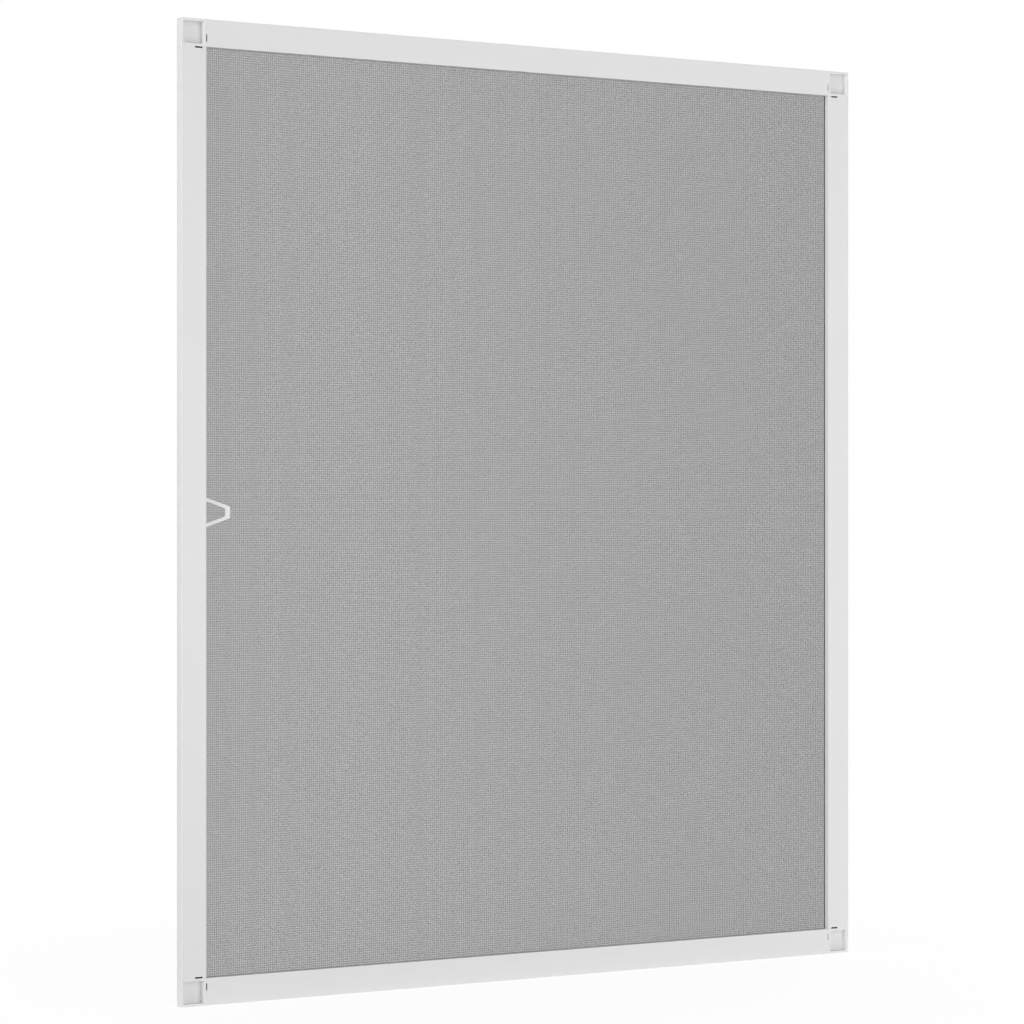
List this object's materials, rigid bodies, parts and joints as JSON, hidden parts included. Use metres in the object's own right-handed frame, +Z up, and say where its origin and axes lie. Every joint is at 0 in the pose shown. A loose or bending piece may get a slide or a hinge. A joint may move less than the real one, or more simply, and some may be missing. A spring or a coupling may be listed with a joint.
{
  "type": "window insect screen",
  "caption": "Flat rectangular insect screen for a window: a white aluminium frame with moulded corner connectors around a stretched grey mesh, with a small pull tab on one side.",
  "frame": {"origin": "on the bottom edge, midway along the width and midway between the front face and the brush tips", "axes": "+X along the width to the right as seen from the front, +Y from the plain front face to the back with the spline and the brush, +Z up along the stiles"},
  "size_m": [1, 0.017, 1.2],
  "materials": {
    "frame_white": "satin powder coat",
    "corner_plastic": "moulded, matt",
    "mesh_fibreglass": "coated woven thread",
    "spline_rubber": "matt",
    "tab_plastic": "moulded, matt",
    "brush_pile": "cut pile"
  },
  "bodies": {
    "root": {"left_stile": "frame_white", "right_stile": "frame_white", "top_rail": "frame_white", "bottom_rail": "frame_white", "corner_top_left": "corner_plastic", "corner_top_right": "corner_plastic", "corner_bottom_right": "corner_plastic", "corner_bottom_left": "corner_plastic", "insect_mesh": "mesh_fibreglass", "spline_left": "spline_rubber", "spline_right": "spline_rubber", "spline_top": "spline_rubber", "spline_bottom": "spline_rubber", "pull_tab": "tab_plastic", "brush_seal_left": "brush_pile", "brush_seal_right": "brush_pile", "brush_seal_top": "brush_pile", "brush_seal_bottom": "brush_pile"}
  },
  "joints": []
}
